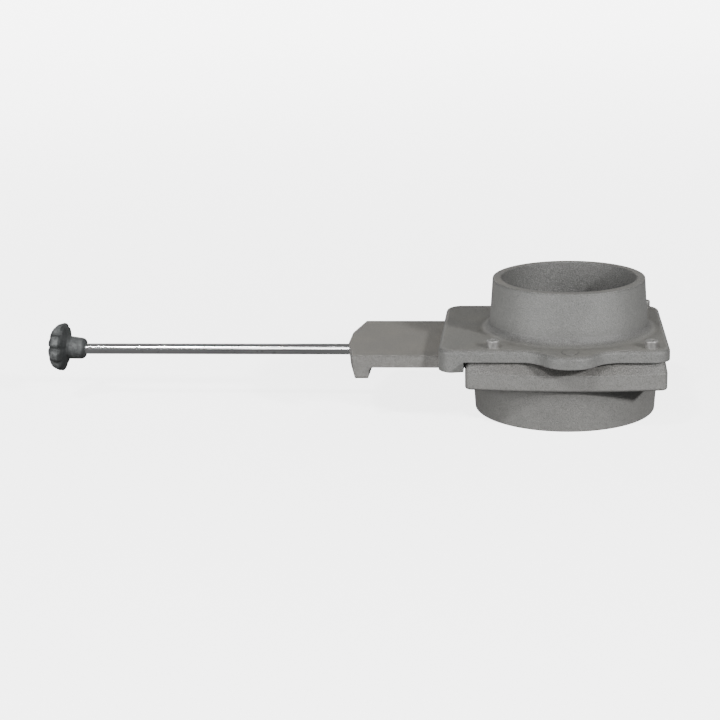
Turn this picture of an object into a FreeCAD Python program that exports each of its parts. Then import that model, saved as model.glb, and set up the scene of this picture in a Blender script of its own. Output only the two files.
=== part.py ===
import FreeCAD, Part
import math
import os
import Sketcher

# Slide gate damper for a stove pipe: two iron castings with a sliding gate plate between them.
# The origin is on the axis of the lower collar, in the plane of its rim. +Z is up the flue and the
# gate is pulled out towards -X. Each piece is drawn about the flue axis, which stands a little to
# the +X side of the lower collar's axis. Lengths are in millimetres.

SIZES = [
    # Flue and collars
    ("flue_bore", 104.0, "clear way through both castings"),
    ("collar_offset", 2.6, "axis of the lower collar to the flue axis, along +X"),
    ("lower_socket_bore", 133.0, "socket in the lower collar"),
    ("lower_socket_depth", 36.0, "depth of that socket, rim to shoulder"),
    ("lower_rim_wall", 6.4, "wall of the lower collar at its rim"),
    ("lower_draft", 2.3, "how much further out that collar stands where it meets the tray"),
    ("lower_collar_height", 34.3, "rim to underside of the tray"),
    ("upper_socket_step", 2.3, "shoulder in the upper socket, flue wall to socket wall"),
    ("upper_socket_depth", 32.0, "depth of that socket, rim to shoulder"),
    ("upper_rim_wall", 6.7, "wall of the upper collar at its rim"),
    ("upper_draft", 2.9, "how much further out that collar stands where it meets the flange"),
    ("upper_collar_height", 41.5, "flange top to rim"),
    ("rim_edge_radius", 0.8, "rounding of the outer edge of both rims"),
    # Tray of the lower casting
    ("tray_height", 22.0, "underside to seam"),
    ("tray_ridge_height", 13.2, "underside to the ridge where the side walls start to lean in"),
    ("tray_floor", 12.1, "thickness of the floor under the gate"),
    ("mouth_reach", 29.0, "flue wall to the end that the lip meets"),
    ("end_wall", 14.8, "blind end of the guide to the outside of the tray"),
    ("side_wall", 18.2, "side of the guide to the long side of the casting"),
    ("tray_right_lean", 1.6, "how far the blind end leans in above the ridge"),
    ("tray_lean", 4.5, "how far the long sides lean in above the ridge"),
    ("tray_bow", 6.5, "how far the middle of a long side stands out at the ridge"),
    ("tray_seam_bow", 0.6, "the same at the seam"),
    ("tray_corner_radius", 5.0, "corners of the tray in plan"),
    ("tray_edge_radius", 2.0, "rounding of the underside"),
    ("mouth_chamfer", 5.0, "lead-in at the gate's way out"),
    # Flange and cheeks of the upper casting
    ("flange_thickness", 10.0, "seam to flange top"),
    ("flange_overhang", 2.2, "tray to flange at the blind end"),
    ("flange_corner_radius", 13.5, "corners of the flange in plan"),
    ("flange_edge_radius", 3.5, "rounding of the flange's top edge"),
    ("flange_root_fillet", 8.0, "upper collar to flange"),
    ("bulge_reach", 20.6, "how far the bulge stands out from a long side"),
    ("bulge_half_width", 39.4, "middle of the bulge to where it starts"),
    ("cheek_gap", 1.0, "tray to the cheeks that hang beside the gate"),
    ("cheek_straight", 6.5, "length of a cheek past the flange's corner"),
    ("cheek_drop", 8.4, "how far the cheeks hang below the seam"),
    ("facet_run", 12.0, "slanting facet on a cheek's lower corner, along the gate"),
    ("facet_depth", 2.5, "the same facet, across the gate"),
    ("facet_point", 0.1, "width of the point that the facet runs out to"),
    ("pad_width", 12.0, "bare oval pad on the front bulge, across"),
    ("pad_depth", 17.0, "the same pad, front to back"),
    ("pad_height", 0.5, "how far the pad stands up"),
    ("pad_setback", 14.5, "tip of the bulge to the middle of the pad"),
    # Gate
    ("gate_lap", 3.3, "flue wall to the plate's long side"),
    ("gate_end_lap", 6.0, "flue wall to the plate's inner end when shut"),
    ("gate_thickness", 10.0, "plate"),
    ("gate_side_gap", 0.5, "plate to guide wall"),
    ("gate_face_gap", 0.4, "plate to floor, and plate to roof"),
    ("gate_end_gap", 2.0, "inner end to the blind end of the guide when shut"),
    ("gate_nose", 7.2, "how far the middle of the outer end stands out"),
    ("gate_nose_flat", 34.0, "width of the blunt middle of the outer end"),
    ("gate_corner_radius", 5.0, "inner corners in plan"),
    ("gate_nose_radius", 16.0, "blunt corners of the outer end in plan"),
    ("gate_edge_radius", 1.0, "rounding of the plate's outer edges"),
    ("lip_height", 19.3, "gate top to the lip's lower edge"),
    ("lip_thickness", 20.0, "lip at its middle, along the rod"),
    ("lip_lean", 1.6, "how far the outer end leans in at the lip's lower edge"),
    ("lip_fillet", 4.0, "lip to plate"),
    ("lip_edge_radius", 1.8, "rounding of the lip's lower edges"),
    ("pull_out", 77.0, "lip to tray, with the gate drawn as pictured"),
    # Rod and knob
    ("rod_diameter", 9.0, "drawn bar"),
    ("rod_end_diameter", 8.0, "turned and threaded ends of the bar"),
    ("rod_drop", 10.0, "gate top to the rod's axis"),
    ("rod_free_length", 225.1, "lip to knob"),
    ("rod_engagement", 14.0, "length screwed into the lip, and into the knob"),
    ("rod_chamfer", 0.8, "both ends"),
    ("thread_gap", 0.05, "radial clearance of a screwed fit"),
    ("knob_rim_setback", 12.4, "tip of the dome to the widest edge"),
    ("knob_cone_length", 4.4, "cone behind that edge, along the rod"),
    ("knob_hub_length", 13.1, "end of the hub to the cone"),
    ("knob_crown_diameter", 40.2, "widest edge"),
    ("knob_dome_width", 29.0, "flat dome in front, across"),
    ("knob_dome_rise", 2.2, "height of that dome"),
    ("knob_shoulder_radius", 12.0, "rounding between the dome and the widest edge"),
    ("knob_edge_radius", 1.0, "rounding of the widest edge"),
    ("knob_hub_taper", 0.9, "how much thicker the hub's radius is where it meets the cone"),
    ("knob_hub_diameter", 17.6, "hub at its end"),
    ("knob_hub_fillet", 1.5, "hub to cone"),
    ("knob_end_radius", 2.8, "rounding of the hub's end"),
    ("knob_lobes", 9.0, "number of lobes"),
    ("knob_groove_radius", 4.0, "cutter between two lobes"),
    ("knob_groove_angle", 25.0, "lean of that cutter, in degrees"),
    ("knob_groove_depth", 1.6, "depth of the groove at the widest edge"),
    ("knob_turn", 12.0, "turn of the lobes round the rod, in degrees, as pictured"),
    # Cap screws
    ("screw_mouth_inset", 21.9, "end of the tray over the gate to the screws there"),
    ("screw_end_inset", 12.4, "blind end of the tray to the front screw there"),
    ("screw_rear_shift", 2.5, "how much further out the rear screw stands there, as pictured"),
    ("screw_side_inset", 9.2, "side of the guide to the screws"),
    ("screw_diameter", 6.0, "thread"),
    ("screw_length", 20.0, "below the head"),
    ("screw_head_diameter", 10.0, "head"),
    ("screw_head_height", 6.0, "head"),
    ("screw_head_radius", 0.8, "rounding of the head"),
    ("screw_socket", 5.0, "hexagon across flats"),
    ("screw_socket_depth", 3.0, "hexagon"),
    ("screw_hole_gap", 0.25, "radial clearance in the flange"),
    ("screw_tip_gap", 3.0, "thread left below the screw's tip"),
    ("screw_chamfer", 0.6, "tip"),
]


class Size:
    """A length that knows both its number and the spreadsheet formula that it comes from."""

    def __init__(self, value, text):
        self.value = value
        self.text = text

    @staticmethod
    def of(other):
        if isinstance(other, Size):
            return other
        return Size(float(other), repr(float(other)))

    def __add__(self, other):
        other = Size.of(other)
        return Size(self.value + other.value, f"({self.text} + {other.text})")

    def __sub__(self, other):
        other = Size.of(other)
        return Size(self.value - other.value, f"({self.text} - {other.text})")

    def __mul__(self, other):
        other = Size.of(other)
        return Size(self.value * other.value, f"({self.text} * {other.text})")

    def __truediv__(self, other):
        other = Size.of(other)
        return Size(self.value / other.value, f"({self.text} / {other.text})")

    def __neg__(self):
        return Size(-self.value, f"(0 - {self.text})")

    def root(self):
        return Size(math.sqrt(self.value), f"sqrt({self.text})")

    def cosine(self):
        return Size(math.cos(math.radians(self.value)), f"cos({self.text} * 1 deg)")

    def tangent(self):
        return Size(math.tan(math.radians(self.value)), f"tan({self.text} * 1 deg)")


def make_sheet(doc):
    """Write the driving dimensions into a spreadsheet, one alias each, and return them by name."""
    sheet = doc.addObject("Spreadsheet::Sheet", "Sizes")
    values = {}
    for row, (name, number, note) in enumerate(SIZES, start=1):
        sheet.set(f"A{row}", name)
        sheet.set(f"B{row}", str(number))
        sheet.setAlias(f"B{row}", name)
        sheet.set(f"C{row}", note)
        values[name] = Size(number, f"Sizes.{name}")
    doc.recompute()
    return values


def bind(target, path, size):
    """Tie one property to the spreadsheet."""
    target.setExpression(path, size.text)


def origin_plane(body, role):
    for feature in body.Origin.OriginFeatures:
        if feature.Role == role:
            return feature
    raise ValueError(role)


def new_sketch(body, name, role, height=None):
    """Sketch on one of the body's own origin planes, lifted by a bound height."""
    sketch = body.newObject("Sketcher::SketchObject", name)
    sketch.AttachmentSupport = [(origin_plane(body, role), "")]
    sketch.MapMode = "FlatFace"
    if height is not None:
        bind(sketch, "AttachmentOffset.Base.z", height)
    return sketch


def pin(sketch, geometry, point, x, y):
    """Hold one end of a sketch line or arc at a bound place."""
    for kind, size in (("DistanceX", x), ("DistanceY", y)):
        index = sketch.addConstraint(Sketcher.Constraint(kind, -1, 1, geometry, point, size.value))
        sketch.setExpression(f"Constraints[{index}]", size.text)


def vector(point):
    return FreeCAD.Vector(point[0].value, point[1].value, 0)


def draw_loop(sketch, corners, bends=None):
    """Draw a closed outline through corners in order.

    bends gives the signed radius of the stretch that starts at a corner, by its number: positive
    for an arc that turns left on its way to the next corner, negative for one that turns right.
    """
    bends = bends or {}
    count = len(corners)
    for number in range(count):
        start = vector(corners[number])
        end = vector(corners[(number + 1) % count])
        if number not in bends:
            sketch.addGeometry(Part.LineSegment(start, end), False)
            continue
        radius, left = bends[number]
        chord = end - start
        half = chord.Length / 2
        side = FreeCAD.Vector(-chord.y, chord.x, 0).normalize()
        if not left:
            side = -side
        centre = (start + end) / 2 + side * math.sqrt(max(radius.value ** 2 - half ** 2, 0.0))
        angles = [math.atan2(p.y - centre.y, p.x - centre.x) for p in (start, end)]
        if not left:
            angles.reverse()
        circle = Part.Circle(centre, FreeCAD.Vector(0, 0, 1), radius.value)
        sketch.addGeometry(Part.ArcOfCircle(circle, angles[0], angles[1]), False)

    def ends(number):
        if number in bends and not bends[number][1]:
            return 2, 1
        return 1, 2

    for number in range(count):
        following = (number + 1) % count
        joined = (number, ends(number)[1], following, ends(following)[0])
        sketch.addConstraint(Sketcher.Constraint("Coincident", *joined))
        pin(sketch, number, ends(number)[0], *corners[number])
        if number in bends:
            radius = bends[number][0]
            index = sketch.addConstraint(Sketcher.Constraint("Radius", number, radius.value))
            sketch.setExpression(f"Constraints[{index}]", radius.text)


def draw_circle(sketch, x, y, diameter):
    centre = FreeCAD.Vector(x.value, y.value, 0)
    number = sketch.addGeometry(Part.Circle(centre, FreeCAD.Vector(0, 0, 1), diameter.value / 2), False)
    pin(sketch, number, 3, x, y)
    index = sketch.addConstraint(Sketcher.Constraint("Diameter", number, diameter.value))
    sketch.setExpression(f"Constraints[{index}]", diameter.text)


def pad(body, name, sketch, length, reverse=False):
    feature = body.newObject("PartDesign::Pad", name)
    feature.Profile = sketch
    feature.Reversed = reverse
    bind(feature, "Length", length)
    return feature


def pocket(doc, body, name, sketch, length, reverse=False):
    """Cut a pocket and make sure that it takes material away."""
    doc.recompute()
    before = body.Shape.Volume
    feature = body.newObject("PartDesign::Pocket", name)
    feature.Profile = sketch
    feature.Reversed = reverse
    bind(feature, "Length", length)
    doc.recompute()
    if "Invalid" in feature.State or not body.Shape.Volume < before:
        raise RuntimeError(f"{name} cuts nothing")
    return feature


def revolve(body, name, sketch, axis="V_Axis"):
    """Turn a profile about its sketch's own upright or level axis."""
    feature = body.newObject("PartDesign::Revolution", name)
    feature.Profile = sketch
    feature.ReferenceAxis = (sketch, [axis])
    feature.Angle = 360.0
    return feature


def pick_edges(body, test):
    """Names of the edges of a body's last feature that pass a test on their bounding box."""
    names = []
    for number, edge in enumerate(body.Tip.Shape.Edges, start=1):
        if test(edge, edge.BoundBox):
            names.append(f"Edge{number}")
    if not names:
        raise RuntimeError("no edge found")
    return names


def fillet(doc, body, name, radius, test):
    """Round the edges that pass a test."""
    doc.recompute()
    base = body.Tip
    names = pick_edges(body, test)
    feature = body.newObject("PartDesign::Fillet", name)
    feature.Base = (base, names)
    bind(feature, "Radius", radius)
    doc.recompute()
    if "Invalid" in feature.State:
        raise RuntimeError(f"{name} failed on {len(names)} edges")
    return feature


def flat_at(box, height, slack=0.01):
    return abs(box.ZMin - height) < slack and abs(box.ZMax - height) < slack


def upright(edge, box):
    return box.XLength < 0.01 and box.YLength < 0.01 and box.ZLength > 0.5


def new_body(doc, label):
    body = doc.addObject("PartDesign::Body", label)
    body.Label = label
    return body


def place(s, piece, x, height=None):
    """Put a piece at a bound distance from the flue axis, and at a bound height."""
    bind(piece, "Placement.Base.x", x + s["collar_offset"])
    if height is not None:
        bind(piece, "Placement.Base.z", height)


def levels(s):
    """Heights above the lower rim that several pieces share."""
    tray_under = s["lower_collar_height"]
    seam = tray_under + s["tray_height"]
    gate_under = tray_under + s["tray_floor"] + s["gate_face_gap"]
    gate_top = gate_under + s["gate_thickness"]
    flange_top = seam + s["flange_thickness"]
    return {
        "tray_under": tray_under,
        "ridge": tray_under + s["tray_ridge_height"],
        "floor": tray_under + s["tray_floor"],
        "seam": seam,
        "gate_under": gate_under,
        "gate_top": gate_top,
        "roof": gate_top + s["gate_face_gap"],
        "flange_top": flange_top,
        "rim": flange_top + s["upper_collar_height"],
        "rod": gate_top - s["rod_drop"],
    }


def spans(s):
    """Sizes and distances from the flue axis that several pieces share."""
    flue = s["flue_bore"] / 2
    upper_socket = flue + s["upper_socket_step"]
    upper_rim = upper_socket + s["upper_rim_wall"]
    lower_socket = s["lower_socket_bore"] / 2
    lower_rim = lower_socket + s["lower_rim_wall"]
    gate_half = flue + s["gate_lap"]
    guide_half = gate_half + s["gate_side_gap"]
    tray_left = flue + s["mouth_reach"]
    gate_inner = flue + s["gate_end_lap"]
    guide_blind = gate_inner + s["gate_end_gap"]
    tray_right = guide_blind + s["end_wall"]
    return {
        "flue": flue,
        "upper_socket": upper_socket,
        "upper_rim": upper_rim,
        "upper_root": upper_rim + s["upper_draft"],
        "lower_socket": lower_socket,
        "lower_rim": lower_rim,
        "lower_root": lower_rim + s["lower_draft"],
        "gate_half": gate_half,
        "gate_inner": gate_inner,
        "guide_half": guide_half,
        "guide_blind": guide_blind,
        "half_depth": guide_half + s["side_wall"],
        "tray_left": tray_left,
        "tray_right": tray_right,
        "cheek_inner": tray_left + s["cheek_gap"],
        "flange_left": tray_left + s["cheek_gap"] + s["cheek_straight"] + s["flange_corner_radius"],
        "flange_right": tray_right + s["flange_overhang"],
        "lip_inner": tray_left + s["pull_out"],
    }


def guide_corners(r, open_end):
    """Outline of the guide way of the gate, from its open end to its blind end."""
    half = r["guide_half"]
    return [(-open_end, -half), (r["guide_blind"], -half), (r["guide_blind"], half), (-open_end, half)]


def screw_places(s, r):
    """Places of the cap screws about the flue axis."""
    left = s["screw_mouth_inset"] - r["tray_left"]
    right = r["tray_right"] - s["screw_end_inset"]
    side = r["guide_half"] + s["screw_side_inset"]
    return [(left, -side), (left, side), (right, -side), (right + s["screw_rear_shift"], side)]


def lower_casting(doc, s, z, r):
    """Lower collar and tray in one casting."""
    body = new_body(doc, "lower_casting")
    place(s, body, Size.of(0))

    # Tray: upright below the ridge, leaning in above it
    def outline(name, height, right, half_depth, bow):
        left = r["tray_left"]
        corner = s["tray_corner_radius"]
        middle = (right - left) / 2
        half_length = (right + left) / 2
        bend = (half_length * half_length + bow * bow) / (bow * 2)
        centre_y = bend - half_depth - bow
        reach = half_length - corner
        corner_y = centre_y - ((bend - corner) * (bend - corner) - reach * reach).root()
        share = bend / (bend - corner)
        touch_x = reach * share
        touch_y = centre_y + (corner_y - centre_y) * share
        corners = [
            (middle - touch_x, touch_y),
            (middle + touch_x, touch_y),
            (right, corner_y),
            (right, -corner_y),
            (middle + touch_x, -touch_y),
            (middle - touch_x, -touch_y),
            (-left, -corner_y),
            (-left, corner_y),
        ]
        bends = {0: (bend, True), 1: (corner, True), 3: (corner, True)}
        bends.update({4: (bend, True), 5: (corner, True), 7: (corner, True)})
        sketch = new_sketch(body, name, "XY_Plane", height)
        draw_loop(sketch, corners, bends)
        return sketch

    foot = outline("tray_foot", z["tray_under"], r["tray_right"], r["half_depth"], s["tray_bow"])
    pad(body, "tray_lower", foot, s["tray_ridge_height"])
    ridge = outline("tray_ridge", z["ridge"], r["tray_right"], r["half_depth"], s["tray_bow"])
    seam = outline(
        "tray_seam",
        z["seam"],
        r["tray_right"] - s["tray_right_lean"],
        r["half_depth"] - s["tray_lean"],
        s["tray_seam_bow"],
    )
    doc.recompute()
    loft = body.newObject("PartDesign::AdditiveLoft", "tray_upper")
    loft.Profile = ridge
    loft.Sections = [seam]
    loft.Ruled = True
    fillet(doc, body, "tray_underside", s["tray_edge_radius"], lambda e, b: flat_at(b, z["tray_under"].value))

    # Collar with a drafted outside
    wall = new_sketch(body, "collar_profile", "XZ_Plane")
    bind(wall, "AttachmentOffset.Base.x", -s["collar_offset"])
    top = z["tray_under"] + s["tray_edge_radius"]
    corners = [
        (Size.of(0), Size.of(0)),
        (r["lower_rim"], Size.of(0)),
        (r["lower_root"], z["tray_under"]),
        (r["lower_root"], top),
        (Size.of(0), top),
    ]
    draw_loop(wall, corners)
    revolve(body, "collar", wall)

    # Socket, flue and guide way
    socket = new_sketch(body, "socket_circle", "XY_Plane")
    draw_circle(socket, -s["collar_offset"], Size.of(0), r["lower_socket"] * 2)
    pocket(doc, body, "socket", socket, s["lower_socket_depth"], reverse=True)
    flue = new_sketch(body, "flue_circle", "XY_Plane")
    draw_circle(flue, Size.of(0), Size.of(0), s["flue_bore"])
    pocket(doc, body, "flue", flue, z["seam"], reverse=True)
    way = new_sketch(body, "guide_outline", "XY_Plane", z["floor"])
    draw_loop(way, guide_corners(r, r["tray_left"]))
    pocket(doc, body, "guide", way, s["tray_height"] - s["tray_floor"], reverse=True)
    mouth = new_sketch(body, "mouth_outline", "XZ_Plane")
    end = -r["tray_left"]
    lead = s["mouth_chamfer"]
    draw_loop(mouth, [(end, z["floor"] - lead), (end + lead, z["floor"]), (end, z["floor"])])
    cut = pocket(doc, body, "mouth", mouth, r["guide_half"] * 2)
    cut.Midplane = True

    # Tapped holes for the cap screws
    holes = new_sketch(body, "tapped_circles", "XY_Plane", z["seam"])
    for x, y in screw_places(s, r):
        draw_circle(holes, x, y, s["screw_diameter"] + s["thread_gap"] * 2)
    depth = s["screw_length"] - s["flange_thickness"] + s["screw_tip_gap"]
    pocket(doc, body, "tapped_holes", holes, depth)
    rim = r["lower_rim"].value
    fillet(doc, body, "rim_edge", s["rim_edge_radius"], lambda e, b: flat_at(b, 0.0)
           and abs(b.XLength / 2 - rim) < 0.01)
    return body


def upper_casting(doc, s, z, r):
    """Upper collar, flange and cheeks in one casting."""
    body = new_body(doc, "upper_casting")
    place(s, body, Size.of(0))

    # Flange: two long sides, each with a bulge made of three equal arcs
    left = r["flange_left"]
    right = r["flange_right"]
    side = r["half_depth"]
    width = s["bulge_half_width"]
    reach = s["bulge_reach"]
    bend = (width * width + reach * reach) / (reach * 4)
    front = [
        (-left, -side),
        (-width, -side),
        (-width / 2, -side - reach / 2),
        (width / 2, -side - reach / 2),
        (width, -side),
        (right, -side),
    ]
    back = [(x, -y) for x, y in reversed(front)]
    arcs = {1: (bend, False), 2: (bend, True), 3: (bend, False)}
    arcs.update({number + 6: arc for number, arc in arcs.items()})
    plate = new_sketch(body, "flange_outline", "XY_Plane", z["seam"])
    draw_loop(plate, front + back, arcs)
    pad(body, "flange", plate, s["flange_thickness"])

    # Cheeks: the end over the gate hangs down on both sides of it
    end = new_sketch(body, "cheek_outline", "XY_Plane", z["seam"])
    inner = -r["cheek_inner"]
    draw_loop(end, [(-left, -side), (inner, -side), (inner, side), (-left, side)])
    pad(body, "cheeks", end, s["cheek_drop"], reverse=True)
    fillet(doc, body, "corners", s["flange_corner_radius"], lambda e, b: upright(e, b)
           and abs(abs(b.YMin) - side.value) < 0.01
           and (abs(b.XMin + left.value) < 0.01 or abs(b.XMin - right.value) < 0.01))
    fillet(doc, body, "top_edge", s["flange_edge_radius"], lambda e, b: flat_at(b, z["flange_top"].value))

    # Slanting facets on the cheeks' lower corners
    low = z["seam"] - s["cheek_drop"]
    for name, sign in (("front", -1), ("rear", 1)):
        facet = body.newObject("PartDesign::SubtractiveLoft", f"{name}_facet")
        stations = []
        for station, share in (("face", 1), ("depth", 0)):
            distance = side - s["facet_depth"] * (1 - share)
            sketch = new_sketch(body, f"{name}_facet_{station}", "XZ_Plane", distance * -sign)
            run = s["facet_run"] * share + s["facet_point"]
            rise = s["cheek_drop"] * share + s["facet_point"]
            draw_loop(sketch, [(inner - run, low), (inner, low), (inner, low + rise)])
            stations.append(sketch)
        facet.Profile = stations[0]
        facet.Sections = stations[1:]
        facet.Ruled = True
        body.Tip = facet
        doc.recompute()

    # Collar with a drafted outside
    wall = new_sketch(body, "collar_profile", "XZ_Plane")
    radius = r["flue"]
    corners = [
        (radius, z["flange_top"] - s["flange_edge_radius"]),
        (r["upper_root"], z["flange_top"] - s["flange_edge_radius"]),
        (r["upper_root"], z["flange_top"]),
        (r["upper_rim"], z["rim"]),
        (radius, z["rim"]),
    ]
    draw_loop(wall, corners)
    revolve(body, "collar", wall)
    root = r["upper_root"].value
    fillet(doc, body, "collar_root", s["flange_root_fillet"], lambda e, b: flat_at(b, z["flange_top"].value)
           and abs(b.XLength / 2 - root) < 0.01)

    # Socket, flue and the shallow roof over the gate
    socket = new_sketch(body, "socket_circle", "XY_Plane", z["rim"])
    draw_circle(socket, Size.of(0), Size.of(0), r["upper_socket"] * 2)
    pocket(doc, body, "socket", socket, s["upper_socket_depth"])
    flue = new_sketch(body, "flue_circle", "XY_Plane", z["rim"])
    draw_circle(flue, Size.of(0), Size.of(0), s["flue_bore"])
    pocket(doc, body, "flue", flue, z["rim"] - z["seam"])
    way = new_sketch(body, "guide_outline", "XY_Plane", z["roof"])
    draw_loop(way, guide_corners(r, left))
    pocket(doc, body, "guide", way, z["roof"] - z["seam"] + s["cheek_drop"])
    rim = r["upper_rim"].value
    fillet(doc, body, "rim_edge", s["rim_edge_radius"], lambda e, b: flat_at(b, z["rim"].value)
           and abs(b.XLength / 2 - rim) < 0.01)

    # Clearance holes for the cap screws
    holes = new_sketch(body, "screw_circles", "XY_Plane", z["flange_top"])
    for x, y in screw_places(s, r):
        draw_circle(holes, x, y, s["screw_diameter"] + s["screw_hole_gap"] * 2)
    pocket(doc, body, "screw_holes", holes, s["flange_thickness"])

    # Bare oval pad on the front bulge
    oval = new_sketch(body, "pad_outline", "XY_Plane", z["flange_top"])
    across = s["pad_width"] / 2
    along = s["pad_depth"] / 2
    middle = s["pad_setback"] - side - reach
    half = (across * across + along * along) / (across * 2)
    ends = [(Size.of(0), middle - along), (Size.of(0), middle + along)]
    draw_loop(oval, ends, {0: (half, True), 1: (half, True)})
    pad(body, "bare_pad", oval, s["pad_height"])
    return body


def gate_plate(doc, s, z, r):
    """Gate with its lip, placed as far out as pictured."""
    body = new_body(doc, "gate_plate")
    place(s, body, -r["lip_inner"], z["gate_top"])

    # Own frame: the lip's inner face is at X = 0 and the top of the plate at Z = 0
    half = r["gate_half"]
    flat = s["gate_nose_flat"] / 2
    tip = -s["lip_thickness"]
    inner = r["tray_left"] + r["gate_inner"]

    def lip_section(name, height, lean):
        nose = tip + lean
        shoulder = nose + s["gate_nose"]
        corners = [(shoulder, half), (nose, flat), (nose, -flat), (shoulder, -half)]
        sketch = new_sketch(body, name, "XY_Plane", height)
        draw_loop(sketch, corners + [(Size.of(0), -half), (Size.of(0), half)])
        return sketch

    lip = body.newObject("PartDesign::AdditiveLoft", "lip")
    lip.Profile = lip_section("lip_top", Size.of(0), Size.of(0))
    lip.Sections = [lip_section("lip_foot", -s["lip_height"], s["lip_lean"])]
    lip.Ruled = True
    body.Tip = lip
    plate = new_sketch(body, "plate_outline", "XY_Plane")
    draw_loop(plate, [(tip / 2, -half), (inner, -half), (inner, half), (tip / 2, half)])
    pad(body, "plate", plate, s["gate_thickness"], reverse=True)

    # Soft corners
    fillet(doc, body, "nose_corners", s["gate_nose_radius"], lambda e, b: abs(b.XMin - tip.value) < 0.01
           and b.ZLength > s["gate_thickness"].value and b.YLength < 0.01)
    fillet(doc, body, "inner_corners", s["gate_corner_radius"], lambda e, b: upright(e, b)
           and abs(b.XMin - inner.value) < 0.01)
    fillet(doc, body, "lip_root", s["lip_fillet"], lambda e, b: flat_at(b, -s["gate_thickness"].value)
           and abs(b.XMin) < 0.01 and b.XLength < 0.01)
    fillet(doc, body, "lip_edges", s["lip_edge_radius"], lambda e, b: flat_at(b, -s["lip_height"].value))
    shoulder = tip.value + s["gate_nose"].value
    fillet(doc, body, "outer_edges", s["gate_edge_radius"], lambda e, b: flat_at(b, 0.0)
           and b.XMax < shoulder + 0.01)

    # Tapped hole for the rod
    hole = new_sketch(body, "rod_circle", "YZ_Plane", tip)
    draw_circle(hole, Size.of(0), -s["rod_drop"], s["rod_end_diameter"] + s["thread_gap"] * 2)
    pocket(doc, body, "rod_hole", hole, s["rod_engagement"], reverse=True)
    return body


def knob_end(s, r):
    """Where the knob's hub ends, as pictured."""
    return -r["lip_inner"] - s["lip_thickness"] - s["rod_free_length"]


def pull_rod(doc, s, z, r):
    """Bar from inside the knob to inside the lip, turned down at both ends."""
    body = new_body(doc, "pull_rod")
    place(s, body, knob_end(s, r) - s["rod_engagement"], z["rod"])
    end = s["rod_engagement"]
    length = s["rod_free_length"] + end * 2
    radius = s["rod_diameter"] / 2
    neck = s["rod_end_diameter"] / 2
    cut = s["rod_chamfer"]
    profile = new_sketch(body, "rod_profile", "XZ_Plane")
    corners = [
        (Size.of(0), Size.of(0)),
        (length, Size.of(0)),
        (length, neck - cut),
        (length - cut, neck),
        (length - end, neck),
        (length - end, radius),
        (end, radius),
        (end, neck),
        (cut, neck),
        (Size.of(0), neck - cut),
    ]
    draw_loop(profile, corners)
    revolve(body, "rod", profile, "H_Axis")
    return body


def knob(doc, s, z, r):
    """Lobed knob on the rod's outer end, with its hub towards the gate."""
    body = new_body(doc, "knob")
    body.Placement.Rotation = FreeCAD.Rotation(FreeCAD.Vector(1, 0, 0), s["knob_turn"].value)
    bind(body, "Placement.Rotation.Angle", s["knob_turn"])
    place(s, body, knob_end(s, r), z["rod"])

    # Own frame: the hub ends at X = 0 and the dome points to -X
    cone = -s["knob_hub_length"]
    rim = cone - s["knob_cone_length"]
    tip = rim - s["knob_rim_setback"]
    crown = s["knob_crown_diameter"] / 2
    hub = s["knob_hub_diameter"] / 2
    root = hub + s["knob_hub_taper"]
    dome_edge = s["knob_dome_width"] / 2
    rise = s["knob_dome_rise"]
    dome = (dome_edge * dome_edge + rise * rise) / (rise * 2)
    profile = new_sketch(body, "knob_profile", "XZ_Plane")
    corners = [
        (tip, Size.of(0)),
        (Size.of(0), Size.of(0)),
        (Size.of(0), hub),
        (cone, root),
        (rim, crown),
        (tip + rise, dome_edge),
    ]
    draw_loop(profile, corners, {4: (s["knob_shoulder_radius"], True), 5: (dome, True)})
    revolve(body, "turned_shape", profile, "H_Axis")

    def ring(x, radius):
        return lambda e, b: (b.XLength < 0.01 and abs(b.XMin - x.value) < 0.01
                             and abs(b.ZLength / 2 - radius.value) < 0.01)

    fillet(doc, body, "hub_root", s["knob_hub_fillet"], ring(cone, root))
    fillet(doc, body, "hub_end", s["knob_end_radius"], ring(Size.of(0), hub))
    fillet(doc, body, "crown_edge", s["knob_edge_radius"], ring(rim, crown))

    # Grooves between the lobes: one leaning cutter, repeated round the rod's axis
    lean = s["knob_groove_angle"]
    run = s["knob_rim_setback"]
    axis_height = crown + (s["knob_groove_radius"] - s["knob_groove_depth"]) / lean.cosine()
    groove = body.newObject("PartDesign::SubtractiveCylinder", "groove")
    groove.AttachmentSupport = [(origin_plane(body, "YZ_Plane"), "")]
    groove.MapMode = "FlatFace"
    groove.AttachmentOffset = FreeCAD.Placement(
        FreeCAD.Vector(0, 0, 0),
        FreeCAD.Rotation(FreeCAD.Vector(-1, 0, 0), lean.value),
    )
    bind(groove, "AttachmentOffset.Base.y", axis_height - run * lean.tangent())
    bind(groove, "AttachmentOffset.Base.z", rim - run)
    bind(groove, "AttachmentOffset.Rotation.Angle", lean)
    bind(groove, "Radius", s["knob_groove_radius"])
    bind(groove, "Height", run * 3)
    doc.recompute()
    lobes = body.newObject("PartDesign::PolarPattern", "lobes")
    lobes.Originals = [groove]
    lobes.Axis = (origin_plane(body, "X_Axis"), [""])
    lobes.Angle = 360.0
    lobes.setExpression("Occurrences", f"round({s['knob_lobes'].text})")
    body.Tip = lobes

    # Tapped hole for the rod
    hole = new_sketch(body, "rod_circle", "YZ_Plane")
    draw_circle(hole, Size.of(0), Size.of(0), s["rod_end_diameter"] + s["thread_gap"] * 2)
    pocket(doc, body, "rod_hole", hole, s["rod_engagement"])
    return body


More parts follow.
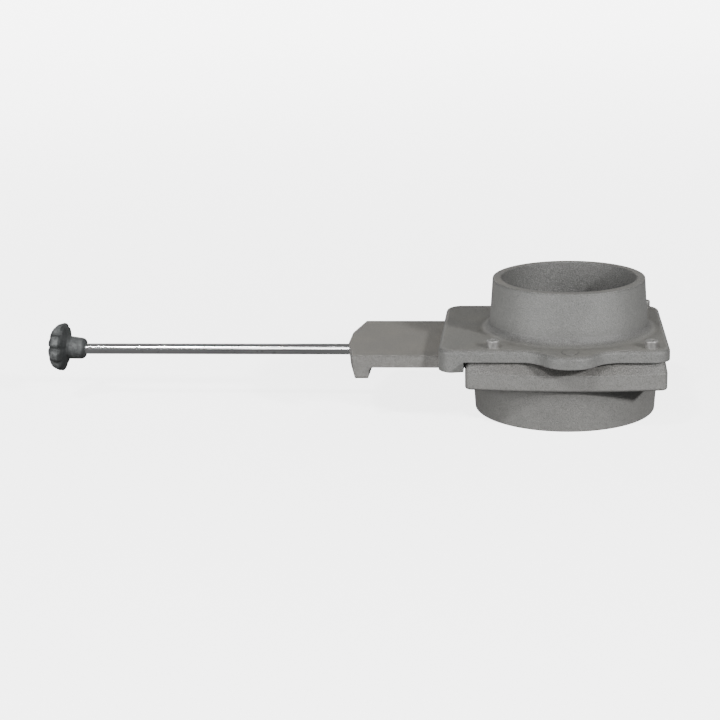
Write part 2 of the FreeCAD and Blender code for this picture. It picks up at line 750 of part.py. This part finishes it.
def cap_screws(doc, s, z, r):
    """Four socket head cap screws, one solid each."""
    body = new_body(doc, "cap_screw")
    head = s["screw_head_diameter"] / 2
    shank = s["screw_diameter"] / 2
    cut = s["screw_chamfer"]
    profile = new_sketch(body, "screw_profile", "XZ_Plane")
    corners = [
        (Size.of(0), -s["screw_length"]),
        (shank - cut, -s["screw_length"]),
        (shank, cut - s["screw_length"]),
        (shank, Size.of(0)),
        (head, Size.of(0)),
        (head, s["screw_head_height"] - s["screw_head_radius"]),
        (head - s["screw_head_radius"], s["screw_head_height"]),
        (Size.of(0), s["screw_head_height"]),
    ]
    draw_loop(profile, corners, {5: (s["screw_head_radius"], True)})
    revolve(body, "screw", profile)
    hexagon = new_sketch(body, "hexagon", "XY_Plane", s["screw_head_height"])
    reach = s["screw_socket"] / math.sqrt(3)
    turns = [math.radians(60 * step) for step in range(6)]
    draw_loop(hexagon, [(reach * math.cos(turn), reach * math.sin(turn)) for turn in turns])
    pocket(doc, body, "hexagon_socket", hexagon, s["screw_socket_depth"])

    group = doc.addObject("Part::Compound", "cap_screws")
    group.Label = "cap_screws"
    copies = []
    for number, (x, y) in enumerate(screw_places(s, r), start=1):
        copy = doc.addObject("App::Link", f"cap_screw_{number}")
        copy.LinkedObject = body
        copy.LinkTransform = False
        place(s, copy, x, z["flange_top"])
        bind(copy, "Placement.Base.y", y)
        copies.append(copy)
    group.Links = copies
    return group


def check(doc, pieces):
    """Stop before anything is written if an object failed."""
    doc.recompute()
    for item in doc.Objects:
        if "Invalid" in item.State or "Error" in item.State:
            raise RuntimeError(f"{item.Label} failed: {item.State}")
    for piece in pieces:
        if piece.Shape.isNull() or not piece.Shape.isValid():
            raise RuntimeError(f"{piece.Label} has no valid shape")


def main():
    doc = FreeCAD.newDocument("stove_pipe_damper")
    sizes = make_sheet(doc)
    heights = levels(sizes)
    reaches = spans(sizes)
    makers = [lower_casting, upper_casting, gate_plate, pull_rod, knob, cap_screws]
    pieces = [maker(doc, sizes, heights, reaches) for maker in makers]
    check(doc, pieces)
    os.makedirs("parts", exist_ok=True)
    for piece in pieces:
        piece.Shape.exportStep(f"parts/{piece.Label}.step")
        box = piece.Shape.BoundBox
        print(piece.Label, len(piece.Shape.Solids), round(piece.Shape.Volume, 1),
              [round(v, 2) for v in (box.XMin, box.XMax, box.YMin, box.YMax, box.ZMin, box.ZMax)])


main()
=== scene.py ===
import math

import bmesh
import bpy
import numpy as np
from mathutils import Matrix, Vector


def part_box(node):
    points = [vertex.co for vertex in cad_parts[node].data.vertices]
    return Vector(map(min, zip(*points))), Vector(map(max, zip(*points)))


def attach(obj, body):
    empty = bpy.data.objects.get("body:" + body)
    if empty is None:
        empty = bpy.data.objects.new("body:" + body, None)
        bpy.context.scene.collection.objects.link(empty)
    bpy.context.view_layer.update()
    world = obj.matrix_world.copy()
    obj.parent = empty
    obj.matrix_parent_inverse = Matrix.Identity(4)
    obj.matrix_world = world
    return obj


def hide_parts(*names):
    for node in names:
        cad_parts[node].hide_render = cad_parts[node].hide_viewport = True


# A cast iron slide gate damper for a stove pipe, with its gate partly drawn. Lengths are in metres.

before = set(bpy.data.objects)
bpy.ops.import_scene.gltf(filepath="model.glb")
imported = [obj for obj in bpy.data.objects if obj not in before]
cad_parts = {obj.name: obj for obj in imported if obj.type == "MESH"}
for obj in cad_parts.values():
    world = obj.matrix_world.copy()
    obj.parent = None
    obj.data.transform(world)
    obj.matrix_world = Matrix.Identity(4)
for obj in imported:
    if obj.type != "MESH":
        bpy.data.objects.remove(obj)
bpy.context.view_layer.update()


# Camera of the photograph: place, turn in radians, sensor and lens in millimetres, for a square frame
CAMERA_PLACE = (-0.0248, -1.2714, 0.3965)
CAMERA_PITCH = 0.2736
CAMERA_YAW = 0.1123
CAMERA_ROLL = 0.0276
SENSOR_WIDTH = 36.0
LENS = 80.2

# Knob, as pictured: lobes, the angle of one groove from the front upwards, and its tip up in degrees
KNOB_LOBES = 9
KNOB_TURN = math.radians(8.0)
KNOB_TIP = 4.5

# Knob: how deep and how narrow its grooves are, how far it is from round, how much its lobes and
# grooves differ in depth along the rod, and the radius inside which all of that fades out
KNOB_GROOVE_DEPTH = 0.0021
KNOB_GROOVE_POWER = 3
KNOB_WOBBLE = 0.00018
KNOB_BELLY = 0.0010
KNOB_FADE_RADIUS = 0.012

# Knob: points of its profile, as distance from the hub's inner end (minus is outwards) and radius,
# and the rounding of those between the first and the last
KNOB_PROFILE = np.array([
    (0.0007, 0.0), (0.0007, 0.0087), (-0.0140, 0.0097), (-0.0172, 0.0195), (-0.0190, 0.0205),
    (-0.0254, 0.0182), (-0.0289, 0.0120), (-0.0298, 0.0050), (-0.0299, 0.0),
])
KNOB_ROUNDING = np.array([0.0040, 0.0016, 0.0012, 0.0012, 0.0030, 0.0030, 0.0030])

# Knob: distances outwards from the hub's inner end, between which each of its zones begins or ends
KNOB_CROWN_START = (0.0128, 0.0175)
KNOB_DOME_END = (0.0215, 0.0296)
KNOB_FRONT_START = (0.0200, 0.0260)
KNOB_SHOULDER_START = (0.0186, 0.0200)
KNOB_SHOULDER_END = (0.0262, 0.0288)
KNOB_HUB_START = (0.0010, 0.0020)
KNOB_HUB_END = (0.0105, 0.0135)

# Knob: how finely it is divided
KNOB_CORNER_POINTS = 12
KNOB_POINTS_ALONG = 150
KNOB_POINTS_AROUND = 216

# Screws: top of their heads, the depths below it between which the hexagon gets painted shade, and their
# edges' rounding
SCREW_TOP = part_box("cap_screws")[1].z
HEXAGON_SHADE_DEPTHS = (0.0009, 0.0022)
SCREW_EDGE_ROUNDING = 0.0006

# How far the axis of the upper collar stands from the origin in X. Skin nearer to that axis than a
# socket's reach is rough and darker, the darkening partly painted shade, and both fade out just
# beyond it. The lower socket stands on the origin itself, so the -X side of its wall is out of reach
# and stays plain.
FLUE_OFFSET = 0.0026
UPPER_SOCKET_REACH = 0.0547
LOWER_SOCKET_REACH = 0.0669
SOCKET_SKIN_FADE = 0.0006

# Middle of the object, which all lights face at one distance
MIDDLE = (-0.03, 0.0, 0.06)
LIGHT_DISTANCE = 3.0
WORLD_STRENGTH = 0.15

# Lights: name, degrees to the right of the front, degrees up, width and height, power in watts
LIGHTS = (
    ("right_softbox", 48.0, 25.0, 0.26, 0.26, 100.0),
    ("left_softbox", -50.0, 10.0, 1.5, 0.8, 58.0),
    ("high_softbox", -30.0, 50.0, 0.25, 0.25, 38.0),
    ("tall_strip", -12.0, 28.0, 0.4, 1.5, 14.0),
    ("rear_softbox", -148.0, 24.0, 1.8, 0.9, 13.0),
    ("far_softbox", 146.0, 24.0, 1.8, 0.9, 10.0),
)

# Stage: flat as far as the bend, which ends in an upright wall; its own light grows outwards
STAGE_FLAT_REACHES = (0.0, 0.6, 1.6)
STAGE_BEND_START = 3.2
STAGE_BEND_RADIUS = 1.4
STAGE_WALL_HEIGHT = 1.2
STAGE_LIGHT_REACHES = (0.2, 4.0)
STAGE_LIGHT_STRENGTHS = (3.6, 6.5)
STAGE_BEND_POINTS = 24
STAGE_POINTS_AROUND = 96


def add_camera():
    """Camera that faces the gate's long side from in front and a little above."""
    forward = Vector((
        -math.sin(CAMERA_YAW) * math.cos(CAMERA_PITCH),
        math.cos(CAMERA_YAW) * math.cos(CAMERA_PITCH),
        -math.sin(CAMERA_PITCH),
    ))
    level = Vector((math.cos(CAMERA_YAW), math.sin(CAMERA_YAW), 0.0))
    down = forward.cross(level)
    right = level * math.cos(CAMERA_ROLL) + down * math.sin(CAMERA_ROLL)
    up = level * math.sin(CAMERA_ROLL) - down * math.cos(CAMERA_ROLL)
    data = bpy.data.cameras.new("photo_camera")
    data.sensor_width = SENSOR_WIDTH
    data.lens = LENS
    data.clip_end = 50.0
    camera = bpy.data.objects.new("photo_camera", data)
    turn = Matrix((right, up, -forward)).transposed()
    camera.matrix_world = Matrix.Translation(CAMERA_PLACE) @ turn.to_4x4()
    bpy.context.collection.objects.link(camera)
    bpy.context.scene.camera = camera


def add_area_light(name, place, width, height, power):
    """Rectangular softbox at a place, aimed at the middle of the object."""
    data = bpy.data.lights.new(name, "AREA")
    data.shape = "RECTANGLE"
    data.size = width
    data.size_y = height
    data.energy = power
    light = bpy.data.objects.new(name, data)
    light.location = place
    light.rotation_euler = (Vector(MIDDLE) - Vector(place)).to_track_quat("-Z", "Y").to_euler()
    bpy.context.collection.objects.link(light)


def around_object(turn, rise):
    """Place of a light, turned in degrees from the front to the right, and raised in degrees."""
    turn = math.radians(turn)
    rise = math.radians(rise)
    return (
        MIDDLE[0] + LIGHT_DISTANCE * math.cos(rise) * math.sin(turn),
        MIDDLE[1] - LIGHT_DISTANCE * math.cos(rise) * math.cos(turn),
        MIDDLE[2] + LIGHT_DISTANCE * math.sin(rise),
    )


def add_lights():
    """Softboxes round the object and a weak white world."""
    for name, turn, rise, width, height, power in LIGHTS:
        add_area_light(name, around_object(turn, rise), width, height, power)
    world = bpy.data.worlds.new("studio")
    world.use_nodes = True
    background = world.node_tree.nodes["Background"]
    background.inputs["Color"].default_value = (1.0, 1.0, 1.0, 1.0)
    background.inputs["Strength"].default_value = WORLD_STRENGTH
    bpy.context.scene.world = world


def mesh_from_grid(name, points):
    """Mesh from a grid of points, rows by columns; each row closes on itself."""
    rows, columns, _ = points.shape
    row, column = np.meshgrid(np.arange(rows - 1), np.arange(columns), indexing="ij")
    following = (column + 1) % columns
    quads = np.stack([
        row * columns + column,
        row * columns + following,
        (row + 1) * columns + following,
        (row + 1) * columns + column,
    ], axis=-1).reshape(-1, 4)
    mesh = bpy.data.meshes.new(name)
    mesh.vertices.add(rows * columns)
    mesh.vertices.foreach_set("co", points.reshape(-1).astype(np.float32))
    mesh.loops.add(quads.size)
    mesh.loops.foreach_set("vertex_index", quads.reshape(-1).astype(np.int32))
    mesh.polygons.add(len(quads))
    mesh.polygons.foreach_set("loop_start", (np.arange(len(quads)) * 4).astype(np.int32))
    mesh.polygons.foreach_set("use_smooth", np.ones(len(quads), dtype=bool))
    mesh.update(calc_edges=True)
    return mesh


def close_poles(mesh):
    """Join the points that lie on each other where a surface runs to a pole."""
    shell = bmesh.new()
    shell.from_mesh(mesh)
    bmesh.ops.remove_doubles(shell, verts=shell.verts, dist=1e-6)
    bmesh.ops.dissolve_degenerate(shell, edges=shell.edges, dist=1e-7)
    shell.to_mesh(mesh)
    shell.free()


def new_object(name, mesh, material):
    piece = bpy.data.objects.new(name, mesh)
    mesh.materials.append(material)
    bpy.context.collection.objects.link(piece)
    return piece


class Graph:
    """Short way to write a node material."""

    def __init__(self, name):
        self.material = bpy.data.materials.new(name)
        self.material.use_nodes = True
        self.nodes = self.material.node_tree.nodes
        self.links = self.material.node_tree.links
        self.nodes.clear()
        self.shader = self.add("ShaderNodeBsdfPrincipled")
        output = self.add("ShaderNodeOutputMaterial")
        self.links.new(self.shader.outputs["BSDF"], output.inputs["Surface"])
        self.coordinates = self.add("ShaderNodeTexCoord").outputs["Object"]

    def add(self, kind, inputs=None, **settings):
        node = self.nodes.new(kind)
        for key, value in settings.items():
            setattr(node, key, value)
        for key, value in (inputs or {}).items():
            self.feed(node.inputs[key], value)
        return node

    def feed(self, socket, value):
        if isinstance(value, bpy.types.NodeSocket):
            self.links.new(value, socket)
        else:
            socket.default_value = value

    def set(self, name, value):
        self.feed(self.shader.inputs[name], value)

    def noise(self, scale, detail, roughness, place=None):
        inputs = {
            "Vector": place or self.coordinates,
            "Scale": scale,
            "Detail": detail,
            "Roughness": roughness,
        }
        return self.add("ShaderNodeTexNoise", inputs).outputs["Fac"]

    def math(self, operation, first, second):
        return self.add("ShaderNodeMath", {0: first, 1: second}, operation=operation).outputs[0]

    def span(self, value, low, high, to_low=0.0, to_high=1.0):
        inputs = {"Value": value, "From Min": low, "From Max": high, "To Min": to_low, "To Max": to_high}
        return self.add("ShaderNodeMapRange", inputs, clamp=True).outputs["Result"]

    def product(self, first, second):
        return self.math("MULTIPLY", first, second)

    def vector(self, operation, first, second=None):
        inputs = {0: first} if second is None else {0: first, 1: second}
        return self.add("ShaderNodeVectorMath", inputs, operation=operation)

    def edge_level(self, rounded):
        """One on a flat face, less where the given rounded normal leaves the face's own."""
        face = self.add("ShaderNodeNewGeometry").outputs["Normal"]
        return self.vector("DOT_PRODUCT", face, rounded).outputs["Value"]

    def mix(self, factor, first, second, blend="MIX"):
        node = self.add("ShaderNodeMix", data_type="RGBA", blend_type=blend)
        self.feed(node.inputs[0], factor)
        self.feed(node.inputs[6], first)
        self.feed(node.inputs[7], second)
        return node.outputs[2]

    def bump(self, height, distance, strength, normal=None):
        inputs = {"Height": height, "Distance": distance, "Strength": strength}
        if normal is not None:
            inputs["Normal"] = normal
        return self.add("ShaderNodeBump", inputs).outputs["Normal"]


def rgb(red, green, blue):
    return (red, green, blue, 1.0)


# Castings: how far a fillet is evened out, the rounding of a rubbed edge, and how far painted shade reaches
# into a crevice
FILLET_REACH = 0.003
EDGE_ROUNDING = 0.0011
CREVICE_SHADE_REACH = 0.016

# Base colours of the castings
UPPER_IRON = rgb(0.217, 0.217, 0.210)
LOWER_IRON = rgb(0.230, 0.227, 0.218)
GATE_IRON = rgb(0.235, 0.229, 0.218)


def casting_material(name, base, seed, reach=None):
    """Shot-blasted cast iron: sandy grain, slow mottling, brown on top, rubbed edges.

    The skin is rougher where the blast did not reach well: on the slopes, in the fillets, and
    within the given reach of the upper collar's axis; its darkening there is partly painted shade.
    Crevices are darkened with painted shade too.
    """
    graph = Graph(name)
    shifted = graph.vector("ADD", graph.coordinates, (seed, seed * 0.7, seed * 1.3)).outputs[0]
    sand = graph.noise(1050.0, 2.0, 0.6, shifted)
    grit = graph.noise(2100.0, 2.0, 0.6, shifted)
    marks = graph.noise(330.0, 3.0, 0.65, shifted)
    clouds = graph.noise(30.0, 5.0, 0.6, shifted)
    waves = graph.noise(15.0, 2.0, 0.4, shifted)

    def shade(scale):
        return rgb(*(value * scale for value in base[:3]))

    # Mottling and grain
    colour = graph.mix(graph.span(clouds, 0.3, 0.7), shade(0.92), shade(1.06))
    speckle = graph.product(graph.math("ADD", sand, grit), 0.5)
    marked_grain = graph.span(marks, 0.3, 0.7, 0.95, 1.05)
    grain = graph.product(marked_grain, graph.span(speckle, 0.35, 0.65, 0.74, 1.26))
    channels = {"Red": grain, "Green": grain, "Blue": grain}
    grain_colour = graph.add("ShaderNodeCombineColor", channels).outputs[0]
    colour = graph.mix(1.0, colour, grain_colour, "MULTIPLY")

    # Rough skin on the slopes and in the socket, its darkening partly painted shade
    soft = graph.add("ShaderNodeBevel", {"Radius": FILLET_REACH}, samples=4).outputs["Normal"]
    up = graph.add("ShaderNodeSeparateXYZ", {0: soft}).outputs["Z"]
    rough_skin_and_shade = graph.product(graph.span(up, 0.12, 0.35), graph.span(up, 0.93, 0.80))
    if reach:
        place = graph.vector("ADD", graph.coordinates, (-FLUE_OFFSET, 0.0, 0.0)).outputs[0]
        parts = graph.add("ShaderNodeSeparateXYZ", {0: place}).outputs
        flat = graph.add("ShaderNodeCombineXYZ", {"X": parts["X"], "Y": parts["Y"]}).outputs[0]
        radius = graph.vector("LENGTH", flat).outputs["Value"]
        rough_skin_and_shade = graph.math("MAXIMUM", rough_skin_and_shade, graph.span(radius, reach + SOCKET_SKIN_FADE, reach))
    skin_painted_shade = graph.product(rough_skin_and_shade, graph.span(speckle, 0.60, 0.42, 0.35, 1.0))
    colour = graph.mix(graph.product(skin_painted_shade, 0.88), colour, shade(0.42))

    # Painted shade in the crevices, from ambient occlusion
    open_air = {"Distance": CREVICE_SHADE_REACH}
    occlusion = graph.add("ShaderNodeAmbientOcclusion", open_air, samples=4, only_local=True)
    cloudy = graph.span(clouds, 0.3, 0.65, 0.65, 0.85)
    crevice_painted_shade = graph.product(graph.span(occlusion.outputs["AO"], 0.95, 0.55), cloudy)
    colour = graph.mix(crevice_painted_shade, colour, shade(0.45))

    # Brown tint on top
    on_top = graph.product(graph.span(up, 0.55, 0.98), graph.span(clouds, 0.3, 0.65, 0.35, 0.75))
    brown = graph.mix(1.0, colour, rgb(0.96, 0.925, 0.865), "MULTIPLY")
    colour = graph.mix(on_top, colour, brown)

    # Rubbed edges
    rounded = graph.add("ShaderNodeBevel", {"Radius": EDGE_ROUNDING}, samples=5).outputs["Normal"]
    edge = graph.span(graph.edge_level(rounded), 0.96, 0.80)
    rubbed = graph.product(edge, graph.span(marks, 0.38, 0.62, 0.2, 0.7))
    colour = graph.mix(rubbed, colour, shade(1.4))
    graph.set("Base Color", colour)
    graph.set("Metallic", 0.38)
    worn = graph.product(rubbed, -0.1)
    graph.set("Roughness", graph.math("ADD", graph.span(sand, 0.3, 0.7, 0.48, 0.62), worn))

    # Relief, from broad to fine
    broad = graph.bump(waves, 0.0012, 0.6, rounded)
    marked = graph.bump(marks, 0.00022, 0.7, broad)
    sandy = graph.bump(sand, 0.00032, graph.span(rough_skin_and_shade, 0.0, 1.0, 0.6, 1.0), marked)
    graph.set("Normal", graph.bump(grit, 0.00013, 0.8, sandy))
    return graph.material


def screw_material():
    """Dull grey screw steel: grimy, with painted shade in the hexagon and a painted highlight on the edges.
    """
    graph = Graph("dull_screw_steel")
    grime = graph.noise(300.0, 3.0, 0.6)
    grain = graph.noise(1300.0, 2.0, 0.6)
    rounded = graph.add("ShaderNodeBevel", {"Radius": SCREW_EDGE_ROUNDING}, samples=5).outputs["Normal"]
    edge = graph.span(graph.edge_level(rounded), 0.985, 0.86)
    height = graph.add("ShaderNodeSeparateXYZ", {0: graph.coordinates}).outputs["Z"]
    # Painted shade in the hexagon socket, varied by the grime
    hexagon_shade_mask = graph.span(height, *(SCREW_TOP - depth for depth in HEXAGON_SHADE_DEPTHS))
    colour = graph.mix(graph.span(grime, 0.35, 0.65), rgb(0.37, 0.365, 0.355), rgb(0.30, 0.295, 0.285))
    hexagon_painted_shade = graph.product(hexagon_shade_mask, graph.span(grime, 0.4, 0.7, 0.1, 0.45))
    colour = graph.mix(hexagon_painted_shade, colour, rgb(0.10, 0.095, 0.09))
    # Painted highlight on the edges of the heads
    colour = graph.mix(graph.product(edge, 0.6), colour, rgb(0.52, 0.515, 0.5))
    graph.set("Base Color", colour)
    graph.set("Metallic", 0.6)
    graph.set("Roughness", graph.span(grain, 0.3, 0.7, 0.38, 0.52))
    graph.set("Normal", graph.bump(grain, 0.00008, 0.7))
    return graph.material


def steel_material():
    """Bright drawn bar: fine drawing lines along X, faint grey stain and dark specks."""
    graph = Graph("drawn_steel")
    along_bar = {"Vector": graph.coordinates, "Scale": (0.02, 1.0, 1.0)}
    stretched = graph.add("ShaderNodeMapping", along_bar).outputs[0]
    lines = graph.noise(1600.0, 3.0, 0.6, stretched)
    stain = graph.noise(26.0, 4.0, 0.6)
    specks = graph.noise(420.0, 3.0, 0.7)
    colour = graph.mix(graph.span(stain, 0.35, 0.7), rgb(0.9, 0.905, 0.91), rgb(0.8, 0.805, 0.81))
    colour = graph.mix(graph.span(specks, 0.62, 0.8), colour, rgb(0.14, 0.14, 0.14))
    graph.set("Base Color", colour)
    graph.set("Metallic", 1.0)
    graph.set("Roughness", graph.span(lines, 0.3, 0.7, 0.13, 0.19))
    graph.set("Normal", graph.bump(lines, 0.00003, 0.4))
    return graph.material


def knob_material():
    """Dark cast knob: rubbed light and mottled where it is handled, dark elsewhere."""
    graph = Graph("dark_cast_iron")
    grain = graph.noise(1000.0, 3.0, 0.65)
    mottle = graph.noise(330.0, 3.0, 0.6)
    patches = graph.noise(120.0, 2.0, 0.5)
    attribute = graph.add("ShaderNodeAttribute", attribute_name="handled").outputs["Fac"]
    rubbed = graph.product(attribute, graph.span(mottle, 0.38, 0.60, 0.2, 1.0))
    colour = graph.mix(graph.span(patches, 0.35, 0.68), rgb(0.040, 0.043, 0.043), rgb(0.066, 0.070, 0.070))
    colour = graph.mix(rubbed, colour, rgb(0.152, 0.158, 0.158))
    graph.set("Base Color", colour)
    graph.set("Metallic", 0.35)
    graph.set("Roughness", graph.span(grain, 0.3, 0.7, 0.5, 0.68))
    graph.set("Normal", graph.bump(grain, 0.00012, 0.7, graph.bump(mottle, 0.0004, 0.8)))
    return graph.material


def add_stage():
    """Pale glowing floor round the object, which turns up into a round wall far out.

    It is a backdrop only: it neither lights the object nor shows in its reflections.
    """
    graph = Graph("pale_stage")
    parts = graph.add("ShaderNodeSeparateXYZ", {0: graph.coordinates}).outputs
    across = graph.add("ShaderNodeCombineXYZ", {"X": parts["X"], "Y": parts["Y"]}).outputs[0]
    reach = graph.vector("LENGTH", across).outputs["Value"]
    graph.set("Base Color", rgb(0.88, 0.88, 0.88))
    graph.set("Roughness", 0.9)
    graph.set("Emission Color", rgb(1.0, 1.0, 1.0))
    graph.set("Emission Strength", graph.span(reach, *STAGE_LIGHT_REACHES, *STAGE_LIGHT_STRENGTHS))
    turn = np.linspace(0.0, math.pi / 2, STAGE_BEND_POINTS)
    bend_reach = STAGE_BEND_START + STAGE_BEND_RADIUS * np.sin(turn)
    bend_height = STAGE_BEND_RADIUS * (1 - np.cos(turn))
    wall_reach = STAGE_BEND_START + STAGE_BEND_RADIUS
    wall_top = STAGE_BEND_RADIUS + STAGE_WALL_HEIGHT
    radius = np.concatenate([STAGE_FLAT_REACHES, bend_reach, [wall_reach]])
    height = np.concatenate([np.zeros(len(STAGE_FLAT_REACHES)), bend_height, [wall_top]])
    around = np.linspace(0.0, 2 * math.pi, STAGE_POINTS_AROUND, endpoint=False)
    points = np.stack([
        radius[:, None] * np.cos(around),
        radius[:, None] * np.sin(around),
        np.repeat(height[:, None], len(around), axis=1),
    ], axis=-1)
    mesh = mesh_from_grid("stage", points)
    close_poles(mesh)
    stage = new_object("stage", mesh, graph.material)
    stage.visible_diffuse = False
    stage.visible_glossy = False


def smooth_step(value, low, high):
    """Zero below low, one above high, and an even S between them."""
    share = np.clip((value - low) / (high - low), 0.0, 1.0)
    return share * share * (3.0 - 2.0 * share)


def even_points(points, radii, count):
    """Points spread evenly along a run of straight lines whose corners are rounded off.

    Each corner is replaced by the parabola from a point before it to a point after it, both at
    the corner's own distance; the whole line is then divided by its length.
    """
    line = [points[0]]
    for before, corner, after, radius in zip(points[:-2], points[1:-1], points[2:], radii):
        start = corner + (before - corner) * radius / np.linalg.norm(before - corner)
        stop = corner + (after - corner) * radius / np.linalg.norm(after - corner)
        share = np.linspace(0.0, 1.0, KNOB_CORNER_POINTS)[:, None]
        line.extend((1 - share) ** 2 * start + 2 * share * (1 - share) * corner + share ** 2 * stop)
    line.append(points[-1])
    line = np.array(line)
    run = np.concatenate([[0.0], np.cumsum(np.linalg.norm(np.diff(line, axis=0), axis=1))])
    wanted = np.linspace(0.0, run[-1], count)
    return np.stack([np.interp(wanted, run, line[:, 0]), np.interp(wanted, run, line[:, 1])], axis=-1)


def add_knob():
    """Lobed knob, on the rod's end and slightly tipped up, as pictured.

    A profile of distance along the rod and radius is turned round the rod. The radius is
    lessened by depth x (half a cosine wave of nine turns, raised to a power), so that nine broad
    lobes stand between narrow grooves; the depth is greatest at the widest edge and fades
    towards the hub and the middle of the dome. A slow wave of two and three turns keeps it from
    being perfectly round.
    """
    low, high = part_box("knob")
    end = high.x
    axis_height = (low.z + high.z) / 2
    line = even_points(KNOB_PROFILE, KNOB_ROUNDING, KNOB_POINTS_ALONG)
    along = line[:, 0]
    radius = line[:, 1]
    out = -along
    around = np.linspace(0.0, 2 * math.pi, KNOB_POINTS_AROUND, endpoint=False)
    groove = (0.5 - 0.5 * np.cos(KNOB_LOBES * (around - KNOB_TURN) + math.pi)) ** KNOB_GROOVE_POWER
    crown = smooth_step(out, *KNOB_CROWN_START)
    dome = 1.0 - smooth_step(out, *KNOB_DOME_END)
    depth = KNOB_GROOVE_DEPTH * crown * (0.25 + 0.75 * dome)
    wobble = KNOB_WOBBLE * (np.sin(2 * around + 0.7) + np.sin(3 * around + 2.1))
    share = np.clip(radius / KNOB_FADE_RADIUS, 0.0, 1.0)[:, None]
    reach = radius[:, None] - share * (depth[:, None] * groove + crown[:, None] * wobble)
    outer = smooth_step(radius, KNOB_FADE_RADIUS / 2, KNOB_FADE_RADIUS)
    belly = KNOB_BELLY * (crown * outer)[:, None] * (groove - 0.3)
    x = along[:, None] + belly * smooth_step(out, *KNOB_FRONT_START)[:, None]
    y = -reach * np.cos(around)
    z = reach * np.sin(around)
    tip = math.radians(KNOB_TIP)
    points = np.stack([
        end + x * math.cos(tip) + z * math.sin(tip),
        y,
        axis_height - x * math.sin(tip) + z * math.cos(tip),
    ], axis=-1)
    mesh = mesh_from_grid("lobed_knob", points)

    # Where it is handled: the lobes round its widest edge, and the hub
    crest = (1.0 - groove) ** 1.5
    shoulder = smooth_step(out, *KNOB_SHOULDER_START) * (1.0 - smooth_step(out, *KNOB_SHOULDER_END))
    hub = smooth_step(out, *KNOB_HUB_START) * (1.0 - smooth_step(out, *KNOB_HUB_END))
    handled = shoulder[:, None] * crest * 0.95 + (hub * 0.75)[:, None]
    layer = mesh.attributes.new("handled", "FLOAT", "POINT")
    layer.data.foreach_set("value", handled.reshape(-1).astype(np.float32))
    close_poles(mesh)
    knob = new_object("lobed_knob", mesh, knob_material())
    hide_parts("knob")
    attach(knob, "gate")


def dress_nodes():
    """Give each CAD node its finish."""
    finishes = {
        "upper_casting": casting_material("upper_cast_iron", UPPER_IRON, 0.0, UPPER_SOCKET_REACH),
        "lower_casting": casting_material("lower_cast_iron", LOWER_IRON, 3.1, LOWER_SOCKET_REACH),
        "gate_plate": casting_material("gate_cast_iron", GATE_IRON, 7.7),
        "cap_screws": screw_material(),
        "pull_rod": steel_material(),
    }
    for node, material in finishes.items():
        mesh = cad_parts[node].data
        mesh.materials.clear()
        mesh.materials.append(material)


add_camera()
add_lights()
add_stage()
dress_nodes()
add_knob()
